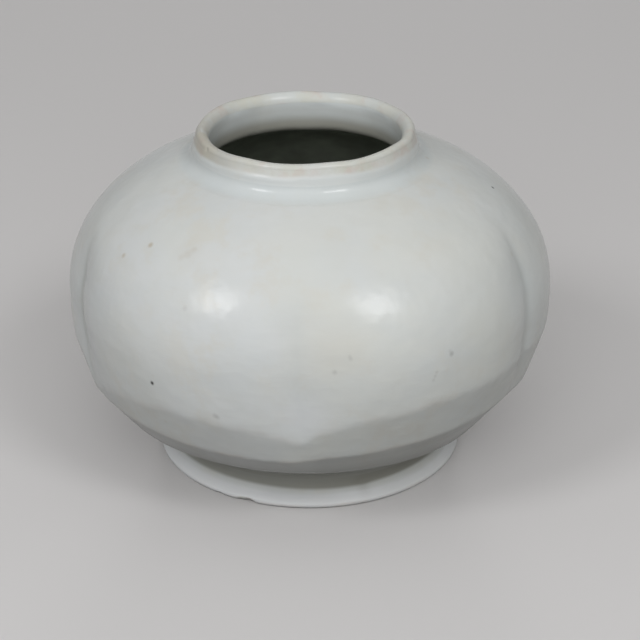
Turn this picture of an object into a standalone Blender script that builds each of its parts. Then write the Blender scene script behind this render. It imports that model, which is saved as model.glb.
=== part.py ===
"""Six-lobed porcelain jar with a short neck and a splayed foot ring.

The jar is made as a potter makes it: a foot ring, the two halves of the body and a neck collar are
turned one by one, the halves are pressed in at six meridians, and the sections are luted with slip.
"""

from math import acos, atan2, cos, exp, hypot, pi, sin

import bmesh
import bpy

MM = 0.001

# Joints: two sections stand a slip layer and two clearances apart
JOINT_CLEARANCE = 0.3 * MM
SLIP_THICKNESS = 0.4 * MM
SLIP_FEATHER = 0.2 * MM

# Foot ring
FOOT_RADIUS = 34.0 * MM
FOOT_HEIGHT = 7.6 * MM
FOOT_FLARE = 2.2 * MM
FOOT_WAIST_DROP = 2.3 * MM
FOOT_BEND_LEVEL = 2.5 * MM
FOOT_EDGE = 0.8 * MM
FOOT_WALL = 4.6 * MM
FOOT_INNER_TAPER = 1.4 * MM
FOOT_COVE_RUN = 2.2 * MM
FOOT_COVE_DROP = 1.6 * MM

# Body: levels are measured up from its flat base, insets in from the lobe crests at the belly
BELLY_RADIUS = 53.25 * MM
BELLY_RISE = 29.9 * MM
SHOULDER_RISE = 33.3 * MM
SHOULDER_FULLNESS = 2.15
UNDERCURVE_DROP = 56.7 * MM
UNDERCURVE_FULLNESS = 2.0
UPPER_FACET_FALL = 0.36
CREASE_RISE = 11.9 * MM
CREASE_INSET = 4.45 * MM
UNDERSIDE_RISE = 6.4 * MM
UNDERSIDE_INSET = 8.85 * MM
BODY_WALL = 4.0 * MM
SHOULDER_WALL = 3.5 * MM
BASE_THICKNESS = 5.0 * MM
BOWL_FULLNESS = 3.0

# Grooves between the lobes: lifts and drops are measured from the belly
LOBE_COUNT = 6
GROOVE_DEPTH = 1.5 * MM
GROOVE_FLANK = 8.5 * MM
GROOVE_FULL_DROP = 11.0 * MM
GROOVE_END_DROP = 23.0 * MM
GROOVE_FULL_LIFT = 10.0 * MM
GROOVE_END_LIFT = 24.0 * MM
INSIDE_SHARE = 0.6
SEAM_RIDGE = 1.0 * MM

# Neck
MOUTH_RADIUS = 20.6 * MM
LIP_ROLL = 1.4 * MM
NECK_HEIGHT = 5.4 * MM
NECK_SPREAD = 1.0 * MM
NECK_SEAT_MARGIN = 1.1 * MM
NECK_FILLET_RUN = 2.0 * MM
NECK_FILLET_LIFT = 1.4 * MM

# Fineness of the turned surfaces
LOBED_STEPS = LOBE_COUNT * 12
PLAIN_STEPS = 60
TRIM_RINGS = 15
SHOULDER_RINGS = 15
BOWL_RINGS = 9
MERGE_DISTANCE = 0.01 * MM

# Levels and radii that follow from the driving dimensions
JOINT = SLIP_THICKNESS + 2 * JOINT_CLEARANCE
BASE_LEVEL = FOOT_HEIGHT + JOINT
BELLY_LEVEL = BASE_LEVEL + BELLY_RISE
FLOOR_LEVEL = BASE_LEVEL + BASE_THICKNESS
CREASE_LEVEL = BASE_LEVEL + CREASE_RISE
UNDERSIDE_LEVEL = BASE_LEVEL + UNDERSIDE_RISE
LOWER_RIM_LEVEL = BELLY_LEVEL - JOINT / 2
UPPER_RIM_LEVEL = BELLY_LEVEL + JOINT / 2

FOOT_WAIST_RADIUS = FOOT_RADIUS - FOOT_FLARE
FOOT_INNER_RADIUS = FOOT_WAIST_RADIUS - FOOT_WALL
COVE_RADIUS = FOOT_WAIST_RADIUS + FOOT_COVE_RUN
CREASE_RADIUS = BELLY_RADIUS - CREASE_INSET
UNDERSIDE_RADIUS = BELLY_RADIUS - UNDERSIDE_INSET
HOLLOW_RADIUS = BELLY_RADIUS - BODY_WALL
HOLLOW_RISE = SHOULDER_RISE - SHOULDER_WALL
BOWL_DROP = BELLY_LEVEL - FLOOR_LEVEL

LIP_RADIUS = MOUTH_RADIUS + 2 * LIP_ROLL
COLLAR_RADIUS = LIP_RADIUS + NECK_SPREAD
SEAT_RADIUS = COLLAR_RADIUS + NECK_SEAT_MARGIN


def swell_radius(half_width, half_height, fullness, offset):
    """Radius of a rounded outline at a height from its widest level. Fullness 2 is an ellipse."""
    share = min(1.0, offset / half_height)
    return half_width * (1 - share ** fullness) ** (1 / fullness)


def shoulder_level(radius):
    """Height of the shoulder's outer surface at a radius."""
    return BELLY_LEVEL + swell_radius(SHOULDER_RISE, BELLY_RADIUS, SHOULDER_FULLNESS, radius)


SEAT_LEVEL = shoulder_level(SEAT_RADIUS)
COLLAR_LEVEL = SEAT_LEVEL + JOINT
RIM_LEVEL = COLLAR_LEVEL + NECK_HEIGHT


def crest_radius(level):
    """Radius of the untrimmed body along the crest of a lobe."""
    if level >= BELLY_LEVEL:
        return swell_radius(BELLY_RADIUS, SHOULDER_RISE, SHOULDER_FULLNESS, level - BELLY_LEVEL)
    return swell_radius(BELLY_RADIUS, UNDERCURVE_DROP, UNDERCURVE_FULLNESS, BELLY_LEVEL - level)


def facet_radius(level):
    """Radius left by the trimming knife, which cuts cones below the belly."""
    if level >= CREASE_LEVEL:
        return CREASE_RADIUS + UPPER_FACET_FALL * (level - CREASE_LEVEL)
    if level >= UNDERSIDE_LEVEL:
        share = (level - UNDERSIDE_LEVEL) / (CREASE_LEVEL - UNDERSIDE_LEVEL)
        return UNDERSIDE_RADIUS + share * (CREASE_RADIUS - UNDERSIDE_RADIUS)
    share = (level - BASE_LEVEL) / (UNDERSIDE_LEVEL - BASE_LEVEL)
    return COVE_RADIUS + share * (UNDERSIDE_RADIUS - COVE_RADIUS)


def body_radius(level):
    """Radius of the finished body along the crest of a lobe."""
    return min(crest_radius(level), facet_radius(level))


def smooth_step(value):
    value = min(1.0, max(0.0, value))
    return value * value * (3 - 2 * value)


def groove_depth(level, azimuth):
    """How far a groove presses the surface in, full along the belly and fading at both ends."""
    if level >= BELLY_LEVEL:
        reach = (GROOVE_END_LIFT - (level - BELLY_LEVEL)) / (GROOVE_END_LIFT - GROOVE_FULL_LIFT)
    else:
        reach = (GROOVE_END_DROP - (BELLY_LEVEL - level)) / (GROOVE_END_DROP - GROOVE_FULL_DROP)
    lobe_angle = 2 * pi / LOBE_COUNT
    from_front = azimuth + pi / 2
    away = abs(from_front - lobe_angle * round(from_front / lobe_angle)) * BELLY_RADIUS
    return GROOVE_DEPTH * smooth_step(reach) * exp(-away / GROOVE_FLANK)


def arc_points(centre, radius, start, end, count):
    """Points along a circular arc in the profile plane, both ends included."""
    points = []
    for index in range(count):
        angle = start + (end - start) * index / (count - 1)
        points.append((centre[0] + radius * cos(angle), centre[1] + radius * sin(angle)))
    return points


def swell_points(half_width, rise, fullness, start_radius, end_radius, count):
    """Points along a rounded outline between two radii. Its rise from the belly is negative downwards."""
    power = 2 / fullness
    start = acos((start_radius / half_width) ** (1 / power))
    end = acos((end_radius / half_width) ** (1 / power))
    points = []
    for index in range(count):
        angle = start + (end - start) * index / (count - 1)
        points.append((half_width * cos(angle) ** power, BELLY_LEVEL + rise * sin(angle) ** power))
    return points


def cove_points(start, corner, end, count):
    """Points along a hollow curve that leaves start and reaches end towards a shared corner."""
    points = []
    for index in range(count):
        t = index / (count - 1)
        weights = ((1 - t) ** 2, 2 * t * (1 - t), t * t)
        points.append(tuple(
            weights[0] * start[axis] + weights[1] * corner[axis] + weights[2] * end[axis]
            for axis in (0, 1)
        ))
    return points


def levels_between(first, last, count):
    return [first + (last - first) * index / (count - 1) for index in range(count)]


def make_material(name, colour, roughness):
    material = bpy.data.materials.new(name)
    material.use_nodes = True
    shader = material.node_tree.nodes["Principled BSDF"]
    shader.inputs["Base Color"].default_value = (*colour, 1.0)
    shader.inputs["Roughness"].default_value = roughness
    shader.inputs["Metallic"].default_value = 0.0
    return material


def turn(name, profile, steps, material, collection, closed=True):
    """Revolves a profile of (radius, level) points, which runs down its outer side, round the Z axis."""
    count = len(profile)
    edges = [(index, index + 1) for index in range(count - 1)]
    if closed:
        edges.append((count - 1, 0))
    mesh = bpy.data.meshes.new(name)
    mesh.from_pydata([(radius, 0.0, level) for radius, level in profile], edges, [])
    piece = bpy.data.objects.new(name, mesh)
    collection.objects.link(piece)
    mesh.materials.append(material)
    screw = piece.modifiers.new("Turned", "SCREW")
    screw.axis = "Z"
    screw.steps = steps
    screw.render_steps = steps
    screw.use_merge_vertices = True
    screw.merge_threshold = MERGE_DISTANCE
    screw.use_smooth_shade = True
    return piece


def press_lobes(piece):
    """Pushes the turned wall in along the grooves, fully outside where the knife left it, partly inside."""
    graph = bpy.context.evaluated_depsgraph_get()
    turned = bpy.data.meshes.new_from_object(piece.evaluated_get(graph))
    shape = bmesh.new()
    shape.from_mesh(turned)
    bmesh.ops.remove_doubles(shape, verts=shape.verts, dist=MERGE_DISTANCE)
    for vertex in shape.verts:
        x, y, level = vertex.co
        radius = hypot(x, y)
        if radius < MERGE_DISTANCE:
            continue
        depth = groove_depth(level, atan2(y, x))
        if radius >= body_radius(level) - MERGE_DISTANCE:
            pressed = min(crest_radius(level) - depth, facet_radius(level))
        else:
            pressed = radius - INSIDE_SHARE * depth
        vertex.co.x *= pressed / radius
        vertex.co.y *= pressed / radius
    shape.to_mesh(turned)
    shape.free()
    turned.shade_smooth()
    turned.set_sharp_from_angle(angle=pi / 6)
    piece.modifiers.clear()
    piece.data = turned


def foot_ring(material, collection):
    """The splayed ring: waisted under the body, flat where it stands."""
    flare = cove_points(
        (FOOT_WAIST_RADIUS, FOOT_HEIGHT - FOOT_WAIST_DROP),
        (FOOT_WAIST_RADIUS, FOOT_BEND_LEVEL),
        (FOOT_RADIUS, FOOT_EDGE),
        6,
    )
    profile = [(FOOT_WAIST_RADIUS, FOOT_HEIGHT)]
    profile += flare
    profile += [
        (FOOT_RADIUS - FOOT_EDGE, 0.0),
        (FOOT_INNER_RADIUS + FOOT_INNER_TAPER + FOOT_EDGE, 0.0),
        (FOOT_INNER_RADIUS + FOOT_INNER_TAPER, FOOT_EDGE),
        (FOOT_INNER_RADIUS, FOOT_HEIGHT),
    ]
    return turn("foot_ring", profile, PLAIN_STEPS, material, collection)


def foot_slip(material, collection):
    """The slip on the foot ring, wiped to a cove in the angle under the body."""
    top = BASE_LEVEL - JOINT_CLEARANCE
    bottom = FOOT_HEIGHT + JOINT_CLEARANCE
    tip = FOOT_HEIGHT - FOOT_COVE_DROP
    wall = FOOT_WAIST_RADIUS + JOINT_CLEARANCE
    skin = wall + SLIP_FEATHER
    lid = top - SLIP_FEATHER
    profile = [(COVE_RADIUS, top)]
    profile += cove_points((COVE_RADIUS, lid), (skin, lid), (skin, tip), 6)
    profile += [
        (wall, tip),
        (wall, bottom),
        (FOOT_INNER_RADIUS, bottom),
        (FOOT_INNER_RADIUS, top),
    ]
    return turn("foot_slip", profile, PLAIN_STEPS, material, collection)


def lower_body(material, collection):
    """The lower half: lobed below the seam, then trimmed in cones to the flat base."""
    rim_radius = swell_radius(HOLLOW_RADIUS, BOWL_DROP, BOWL_FULLNESS, JOINT / 2)
    profile = swell_points(HOLLOW_RADIUS, -BOWL_DROP, BOWL_FULLNESS, 0.0, rim_radius, BOWL_RINGS)
    for level in levels_between(LOWER_RIM_LEVEL, CREASE_LEVEL, TRIM_RINGS):
        profile.append((body_radius(level), level))
    profile += [
        (UNDERSIDE_RADIUS, UNDERSIDE_LEVEL),
        (COVE_RADIUS, BASE_LEVEL),
        (0.0, BASE_LEVEL),
    ]
    piece = turn("lower_body", profile, LOBED_STEPS, material, collection, closed=False)
    press_lobes(piece)
    return piece


def belly_slip(material, collection):
    """The slip in the belly seam, flush outside, with the ridge that squeezed out inside."""
    half = SLIP_THICKNESS / 2
    ridge_radius = HOLLOW_RADIUS - JOINT_CLEARANCE
    profile = [
        (BELLY_RADIUS, BELLY_LEVEL + half),
        (BELLY_RADIUS, BELLY_LEVEL - half),
        (ridge_radius, BELLY_LEVEL - half),
    ]
    profile += arc_points((ridge_radius, BELLY_LEVEL), SEAM_RIDGE, 3 * pi / 2, pi / 2, 6)
    profile += [(ridge_radius, BELLY_LEVEL + half)]
    piece = turn("belly_slip", profile, LOBED_STEPS, material, collection)
    press_lobes(piece)
    return piece


def upper_body(material, collection):
    """The upper half: lobed above the seam, plain on the shoulder, flat round the mouth hole."""
    outer_rim = crest_radius(UPPER_RIM_LEVEL)
    inner_rim = swell_radius(HOLLOW_RADIUS, HOLLOW_RISE, SHOULDER_FULLNESS, JOINT / 2)
    profile = swell_points(
        BELLY_RADIUS, SHOULDER_RISE, SHOULDER_FULLNESS, SEAT_RADIUS, outer_rim, SHOULDER_RINGS
    )
    profile += swell_points(
        HOLLOW_RADIUS, HOLLOW_RISE, SHOULDER_FULLNESS, inner_rim, MOUTH_RADIUS, BOWL_RINGS
    )
    profile.append((MOUTH_RADIUS, SEAT_LEVEL))
    piece = turn("upper_body", profile, LOBED_STEPS, material, collection)
    press_lobes(piece)
    return piece


def neck_slip(material, collection):
    """The slip round the mouth hole, wiped to a fillet between the shoulder and the collar."""
    top = COLLAR_LEVEL - JOINT_CLEARANCE
    bottom = SEAT_LEVEL + JOINT_CLEARANCE
    tip = COLLAR_LEVEL + NECK_FILLET_LIFT
    wall = COLLAR_RADIUS + JOINT_CLEARANCE
    skin = wall + SLIP_FEATHER
    hem = SEAT_RADIUS + NECK_FILLET_RUN
    middle = (SEAT_RADIUS + hem) / 2
    hem_level = shoulder_level(hem) + JOINT_CLEARANCE
    profile = cove_points((skin, tip), (skin, bottom), (hem, hem_level + SLIP_FEATHER), 7)
    profile += [
        (hem, hem_level),
        (middle, shoulder_level(middle) + JOINT_CLEARANCE),
        (SEAT_RADIUS, bottom),
        (MOUTH_RADIUS, bottom),
        (MOUTH_RADIUS, top),
        (wall, top),
        (wall, tip),
    ]
    return turn("neck_slip", profile, PLAIN_STEPS, material, collection)


def neck_collar(material, collection):
    """The short neck: a tapering wall under a fully rounded lip."""
    roll_centre = (MOUTH_RADIUS + LIP_ROLL, RIM_LEVEL - LIP_ROLL)
    profile = arc_points(roll_centre, LIP_ROLL, pi, 0.0, 11)
    profile += [
        (COLLAR_RADIUS, COLLAR_LEVEL + NECK_FILLET_LIFT / 2),
        (COLLAR_RADIUS, COLLAR_LEVEL),
        (MOUTH_RADIUS, COLLAR_LEVEL),
    ]
    return turn("neck_collar", profile, PLAIN_STEPS, material, collection)


def main():
    for old in list(bpy.data.objects):
        bpy.data.objects.remove(old)
    collection = bpy.data.collections.new("six_lobed_jar")
    bpy.context.scene.collection.children.link(collection)
    foot_ring(make_material("foot glaze", (0.60, 0.63, 0.61), 0.30), collection)
    foot_slip(make_material("foot slip", (0.52, 0.55, 0.53), 0.40), collection)
    lower_body(make_material("lower body glaze", (0.60, 0.64, 0.62), 0.25), collection)
    belly_slip(make_material("belly slip", (0.55, 0.57, 0.55), 0.40), collection)
    upper_body(make_material("upper body glaze", (0.63, 0.66, 0.64), 0.25), collection)
    neck_slip(make_material("neck slip", (0.58, 0.62, 0.62), 0.30), collection)
    neck_collar(make_material("neck glaze and bare lip", (0.64, 0.61, 0.55), 0.35), collection)


main()
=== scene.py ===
"""A six-lobed porcelain jar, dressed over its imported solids.

Every section is drawn as a half profile, spun round the jar's axis and then worked by hand: pressed in at
the grooves, trimmed with a knife below the belly, luted, glazed and a little worn.
"""

from collections import namedtuple
from math import acos, cos, pi, radians, sin, tau

import bpy
import numpy as np
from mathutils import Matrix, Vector


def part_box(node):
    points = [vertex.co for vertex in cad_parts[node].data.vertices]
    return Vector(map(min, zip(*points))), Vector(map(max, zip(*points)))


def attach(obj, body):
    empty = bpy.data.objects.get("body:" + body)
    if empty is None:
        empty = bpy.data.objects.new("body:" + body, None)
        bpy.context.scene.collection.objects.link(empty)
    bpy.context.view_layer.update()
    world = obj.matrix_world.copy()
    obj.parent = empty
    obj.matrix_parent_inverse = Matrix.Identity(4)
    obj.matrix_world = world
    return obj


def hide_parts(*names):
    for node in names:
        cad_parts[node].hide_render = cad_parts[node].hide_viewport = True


bl_info = {
    "name": "Six-lobed Jar",
    "version": (1, 0, 0),
    "blender": (4, 5, 0),
    "location": "View3D > Sidebar > Jar",
    "description": "Models a lobed porcelain jar with its glaze and sets it on a plain studio floor",
    "category": "Object",
}

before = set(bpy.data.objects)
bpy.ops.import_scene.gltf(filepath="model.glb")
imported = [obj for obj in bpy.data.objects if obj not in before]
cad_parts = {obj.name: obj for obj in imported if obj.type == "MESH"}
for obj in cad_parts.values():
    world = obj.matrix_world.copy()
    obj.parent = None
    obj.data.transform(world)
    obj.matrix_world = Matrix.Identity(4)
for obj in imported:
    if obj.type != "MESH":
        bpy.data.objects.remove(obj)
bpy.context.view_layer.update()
MM = 0.001

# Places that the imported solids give
FOOT_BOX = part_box("foot_ring")
LOWER_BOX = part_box("lower_body")
BELLY_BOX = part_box("belly_slip")
NECK_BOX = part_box("neck_collar")
BASE_LEVEL = LOWER_BOX[0].z
RIM_LEVEL = NECK_BOX[1].z
BELLY_LEVEL = (BELLY_BOX[0].z + BELLY_BOX[1].z) / 2
FOOT_RADIUS = FOOT_BOX[1].x

# Fineness of the spun skins
LOBE_COUNT = 6
COLUMNS_PER_LOBE = 72
GROOVE_CROWDING = 0.55
MERGE_DISTANCE = 0.002 * MM
SMOOTH_ANGLE = 40.0

# Thickness of the clay: at the belly, at the top of the shoulder and in the base
WALL = 4.0 * MM
CROWN = 3.5 * MM
BASE = 5.0 * MM
HOLLOW_FULLNESS = 3.0
SEAM = 1.0 * MM

# Grooves as the hand pressed them, going right from the front. Place is in degrees, depth is a share of
# the form's, below and above are the reach from the belly, the leans are in degrees per millimetre, round
# is the bottom's rounding, flank is the width of the sides, follow is how far the knife's upper cut was
# pressed in as well and dark is how much painted shade lies along the bottom
Groove = namedtuple("Groove", "place depth below above lean_low lean_high round flank follow dark")
GROOVES = (
    Groove(0.0, 0.92, 23.5 * MM, 24.5 * MM, -0.236, 0.03, 3.6 * MM, 7.5 * MM, 0.235, 0.03),
    Groove(65.8, 1.3, 20.0 * MM, 24.0 * MM, 0.1, 0.17, 1.2 * MM, 8.0 * MM, 1.0, 0.2),
    Groove(122.5, 1.0, 20.0 * MM, 24.0 * MM, 0.05, -0.05, 1.6 * MM, 7.5 * MM, 0.5, 0.1),
    Groove(179.5, 1.15, 24.0 * MM, 23.0 * MM, 0.1, 0.0, 1.2 * MM, 7.0 * MM, 0.3, 0.15),
    Groove(236.0, 0.95, 22.0 * MM, 24.5 * MM, 0.0, 0.08, 1.5 * MM, 7.5 * MM, 0.6, 0.1),
    Groove(293.0, 1.25, 19.0 * MM, 19.0 * MM, -0.45, -0.25, 1.5 * MM, 8.0 * MM, 0.3, 0.34),
)

# Knife cuts below the belly, as cones: inset from the belly's radius at a height above the base, and slope
Cone = namedtuple("Cone", "inset slope height")
UPPER_CONE = Cone(4.45 * MM, 0.36, 11.9 * MM)
MIDDLE_CONE = Cone(8.85 * MM, 0.8, 6.4 * MM)
UNDER_CONE = Cone(19.25 * MM, 1.625, 0.0)

# How the cuts differ under each lobe, going right from the front groove: the upper cut's shift, its change
# per degree across the lobe and its bow towards the lobe's ends, then the middle cut's shift and change
Cut = namedtuple("Cut", "upper slant bow middle turn")
LOBE_CUTS = (
    Cut(-0.09 * MM, -0.006 * MM, 0.1 * MM, -0.96 * MM, -0.027 * MM),
    Cut(0.05 * MM, 0.004 * MM, 0.0, -0.5 * MM, 0.02 * MM),
    Cut(0.15 * MM, -0.006 * MM, 0.1 * MM, 0.3 * MM, 0.0),
    Cut(-0.05 * MM, 0.003 * MM, 0.0, -0.2 * MM, -0.012 * MM),
    Cut(0.1 * MM, 0.0, 0.15 * MM, 0.1 * MM, 0.01 * MM),
    Cut(0.645 * MM, -0.006 * MM, 0.335 * MM, 0.28 * MM, 0.016 * MM),
)

# Degrees that the knife takes to turn over at a groove, and how far past the groove it does so
KNIFE_TURN = 8.7
KNIFE_LATE = 2.46

# Slow unevenness left by the hand: waves round the jar, waves per metre upwards, share, phase
HAND_WAVES = (
    (2, 9.0, 0.30, 0.4),
    (5, 14.0, 0.22, 2.1),
    (9, -22.0, 0.20, 4.0),
    (13, 31.0, 0.16, 1.3),
    (7, -43.0, 0.12, 5.2),
)

# Tints that the glaze and the clay take by place
THIN_TINT = (0.62, 0.575, 0.53)
# Painted shade, also used to darken the real stains and nicks
PAINTED_SHADE_AND_STAIN_TINT = (0.27, 0.27, 0.235)
TINGE_TINT = (0.575, 0.57, 0.522)
CLOUD_TINT = (0.6, 0.605, 0.535)
GREY_TINT = (0.25, 0.25, 0.235)
BLUSH_TINT = (0.53, 0.462, 0.415)
STAIN_TINT = (0.40, 0.365, 0.30)
UNDER_BLUSH_TINT = (0.60, 0.50, 0.40)
UNDER_STAIN_TINT = (0.36, 0.32, 0.26)

# The camera, in front of the jar's front groove and a little to its right
VIEW_AZIMUTH = 3.0
CAMERA_BACK = 395.01 * MM
CAMERA_HEIGHT = 220.11 * MM
CAMERA_TILT = 25.86
CAMERA_SWING = 0.00587
CAMERA_LENS = 110.27
CAMERA_SENSOR = 36.0

# The studio: the lamps' colour and target, and how much light the floor throws back and where it fades out
LAMP_COLOUR = (0.987, 0.983, 1.0)
LAMP_TARGET = Vector((0, 0, 40 * MM))
BACK_SHARE = 0.7
FLOOR_SIZE = 8.0
FLOOR_BOUNCE = 0.14
FLOOR_FADE_START = 0.5
FLOOR_FADE_END = 0.95


def length_of(name, description, default):
    """A length that can be set in the panel."""
    return bpy.props.FloatProperty(
        name=name, description=description, default=default, unit="LENGTH", precision=5,
    )


def colour_of(name, description, default):
    """A colour that can be set in the panel."""
    return bpy.props.FloatVectorProperty(
        name=name, description=description, default=default, subtype="COLOR", size=3, min=0.0, max=1.0,
    )


class JarForm(bpy.types.PropertyGroup):
    """Sizes of the jar's sections."""

    belly_radius: length_of("Belly radius", "Radius at the crests of the lobes, at the belly", 53.25 * MM)
    shoulder_rise: length_of(
        "Shoulder rise", "Height of the shoulder's rounding above the belly", 33.3 * MM,
    )
    shoulder_fullness: bpy.props.FloatProperty(
        name="Shoulder fullness", description="Roundness of the shoulder, where 2 is an ellipse",
        default=2.15,
    )
    undercurve_drop: length_of(
        "Undercurve drop", "Depth of the ellipse that the body follows below the belly", 56.7 * MM,
    )
    groove_depth: length_of("Groove depth", "How far the grooves are pressed in at the belly", 1.5 * MM)
    unevenness: length_of("Unevenness", "Size of the slow unevenness that the hand left", 0.16 * MM)
    neck_shift: length_of(
        "Neck shift", "How far the neck stands to the left of the foot's centre", 0.8 * MM,
    )
    mouth_radius: length_of("Mouth radius", "Inner radius of the neck", NECK_BOX[1].x - 3.8 * MM)
    lip_width: length_of("Lip width", "Width of the rounded lip", 2.8 * MM)
    lip_fall: length_of("Lip fall", "How far the lip falls away towards the inside", 2.4 * MM)
    foot_waist: length_of("Foot waist", "Radius of the foot ring under the body", FOOT_RADIUS - 2.2 * MM)


class JarGlaze(bpy.types.PropertyGroup):
    """Colours of the glaze and the clay, and the colour of the painted light."""

    cool: colour_of("Cool glaze", "Glaze where it lies thick and slightly blue", (0.609, 0.625, 0.622))
    warm: colour_of(
        "Warm glaze", "Glaze where it lies thin and the body shows through", (0.618, 0.63, 0.588),
    )
    pooled: colour_of("Pooled glaze", "Glaze gathered in the grooves and coves", (0.53, 0.585, 0.59))
    # Painted light: a lighter colour laid on the foot's lower flare and on the lower front of the belly
    pale: colour_of(
        "Pale glaze", "Opaque glaze that ran down and set on the foot's flare", (0.63, 0.645, 0.65),
    )
    clay: colour_of(
        "Bare clay", "Unglazed clay of the lip, the foot's edge and the recess", (0.56, 0.57, 0.535),
    )
    # A dark colour for the body's inside
    inside: colour_of("Inside wash", "Thin stained wash inside the body", (0.35, 0.38, 0.315))
    iron: colour_of("Iron speck", "Small dark specks of iron in the glaze", (0.03, 0.028, 0.026))
    tan: colour_of("Tan speck", "Small tan specks and clouds in the glaze", (0.42, 0.36, 0.27))


class JarStage(bpy.types.PropertyGroup):
    """The studio round the jar."""

    floor: colour_of("Floor", "Colour of the plain floor", (0.62, 0.61, 0.60))
    key_light: bpy.props.FloatProperty(
        name="Key light", description="Share of full light from each of the two soft boxes", default=0.232,
    )
    fill_light: bpy.props.FloatProperty(
        name="Fill light", description="Share of full light from the soft fill in front", default=0.525,
    )
    dome_light: bpy.props.FloatProperty(
        name="Dome light", description="Brightness of the surroundings", default=0.28,
    )


def swell(half_width, half_height, fullness, offset):
    """Radius of a rounded outline at heights from its widest level. Fullness 2 is an ellipse."""
    share = np.clip(offset / half_height, 0.0, 1.0)
    return half_width * (1 - share ** fullness) ** (1 / fullness)


def smooth_step(value):
    value = np.clip(value, 0.0, 1.0)
    return value * value * (3 - 2 * value)


def bell(value, width):
    """One at nought, fading to both sides."""
    return np.exp(-(value / width) ** 2)


def soft_least(first, second, rounding):
    """The lesser of two radii, with the edge between them rounded as glaze rounds it."""
    return (first + second - np.sqrt((first - second) ** 2 + rounding ** 2)) / 2


def crest_radius(form, level):
    """Radius of the untrimmed body along the crest of a lobe."""
    above = swell(form.belly_radius, form.shoulder_rise, form.shoulder_fullness, level - BELLY_LEVEL)
    below = swell(form.belly_radius, form.undercurve_drop, 2.0, BELLY_LEVEL - level)
    return np.where(level >= BELLY_LEVEL, above, below)


def hollow_radius(form, level):
    """Radius of the inside of the body."""
    half_width = form.belly_radius - WALL
    above = swell(half_width, form.shoulder_rise - CROWN, form.shoulder_fullness, level - BELLY_LEVEL)
    below = swell(half_width, BELLY_LEVEL - BASE_LEVEL - BASE, HOLLOW_FULLNESS, BELLY_LEVEL - level)
    return np.where(level >= BELLY_LEVEL, above, below)


def cone_radius(form, cone, level):
    """Radius of a knife cut, before the hand's differences."""
    return form.belly_radius - cone.inset + cone.slope * (level - BASE_LEVEL - cone.height)


def plain_radius(form, level):
    """Radius of the body as turned and evenly cut, before the lobes are pressed."""
    plain = crest_radius(form, level)
    for cone in (UPPER_CONE, MIDDLE_CONE, UNDER_CONE):
        plain = np.minimum(plain, cone_radius(form, cone, level))
    return plain


def shoulder_level(form, radius):
    """Height of the shoulder at a radius."""
    return BELLY_LEVEL + swell(form.shoulder_rise, form.belly_radius, form.shoulder_fullness, radius)


def turn_from(azimuth, place):
    """Signed angle from a bearing in degrees, half a turn at most."""
    return (azimuth - radians(place) + pi) % tau - pi


def groove_away(form, groove, azimuth, level):
    """Distance round the jar to a groove, which leans a little as it climbs, at the belly's radius."""
    lift = level - BELLY_LEVEL
    lean = np.where(lift < 0, groove.lean_low, groove.lean_high) * lift / MM
    return np.abs(turn_from(azimuth - np.radians(lean), groove.place)) * form.belly_radius


def groove_reach(groove, level):
    """How much of a groove's depth is there at a level: all along the belly and fading at both ends."""
    lift = level - BELLY_LEVEL
    reach_up = smooth_step((groove.above - lift) / (0.6 * groove.above))
    return reach_up * smooth_step((groove.below + lift) / (0.9 * groove.below))


def groove_press(form, azimuth, level):
    """How far the grooves press the skin in, and the knife's upper cut with it: soft furrows."""
    press = np.zeros_like(azimuth)
    cut_press = np.zeros_like(azimuth)
    for groove in GROOVES:
        away = groove_away(form, groove, azimuth, level)
        flank = np.sqrt(away ** 2 + groove.round ** 2) - groove.round
        own = form.groove_depth * groove.depth * groove_reach(groove, level) * np.exp(-flank / groove.flank)
        press = np.maximum(press, own)
        cut_press = np.maximum(cut_press, groove.follow * own)
    return press, cut_press


def knife_shifts(azimuth):
    """Shift of the upper and of the middle cut, lobe by lobe, turning over at the grooves."""
    upper = np.zeros_like(azimuth)
    middle = np.zeros_like(azimuth)
    for index, cut in enumerate(LOBE_CUTS):
        start = turn_from(azimuth, GROOVES[index].place + KNIFE_LATE)
        end = turn_from(azimuth, GROOVES[(index + 1) % LOBE_COUNT].place + KNIFE_LATE)
        width = radians(KNIFE_TURN)
        share = smooth_step(start / width + 0.5) * smooth_step(0.5 - end / width)
        across = np.degrees(start + end) / 2
        bow = cut.bow * ((across / 30.0) ** 2 - 1 / 3)
        upper += share * (cut.upper + cut.slant * across + bow)
        middle += share * (cut.middle + cut.turn * across)
    return upper, middle


def trimmed_skin(form, azimuth, level):
    """Radius of the finished outer skin, how thin its edges' glaze is, and how far each cut has bitten."""
    press, cut_press = groove_press(form, azimuth, level)
    upper_shift, middle_shift = knife_shifts(azimuth)
    chatter = 0.03 * MM * (np.sin(17 * azimuth + 0.7) + np.sin(29 * azimuth + 2.0) + np.sin(53 * azimuth))
    ragged = np.sin(41 * azimuth + 1.0) + np.sin(67 * azimuth + 0.3) + 1.2 * np.sin(83 * azimuth + 4.0)
    chatter = chatter + 0.035 * MM * ragged * (0.5 + 0.5 * np.sin(7 * azimuth + 2.6))
    crest = crest_radius(form, level) - press
    upper_cut = cone_radius(form, UPPER_CONE, level) + upper_shift - cut_press
    upper_cut = upper_cut + chatter * bell(crest - upper_cut, 0.4 * MM)
    middle_cut = cone_radius(form, MIDDLE_CONE, level) + middle_shift
    above = np.minimum(crest, upper_cut)
    middle_cut = middle_cut - 0.6 * chatter * bell(above - middle_cut, 0.4 * MM)
    under_cut = cone_radius(form, UNDER_CONE, level)
    skin = soft_least(crest, upper_cut, 0.22 * MM)
    skin = soft_least(skin, middle_cut, 0.18 * MM)
    skin = soft_least(skin, under_cut, 0.2 * MM)
    thin = 0.4 * np.exp(-np.abs(crest - upper_cut) / (0.14 * MM))
    thin = np.maximum(thin, np.exp(-np.abs(above - middle_cut) / (0.16 * MM)))
    cut_one = smooth_step((crest - upper_cut) / (0.25 * MM))
    cut_two = smooth_step((above - middle_cut) / (0.3 * MM))
    return skin, thin, cut_one, cut_two


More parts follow.
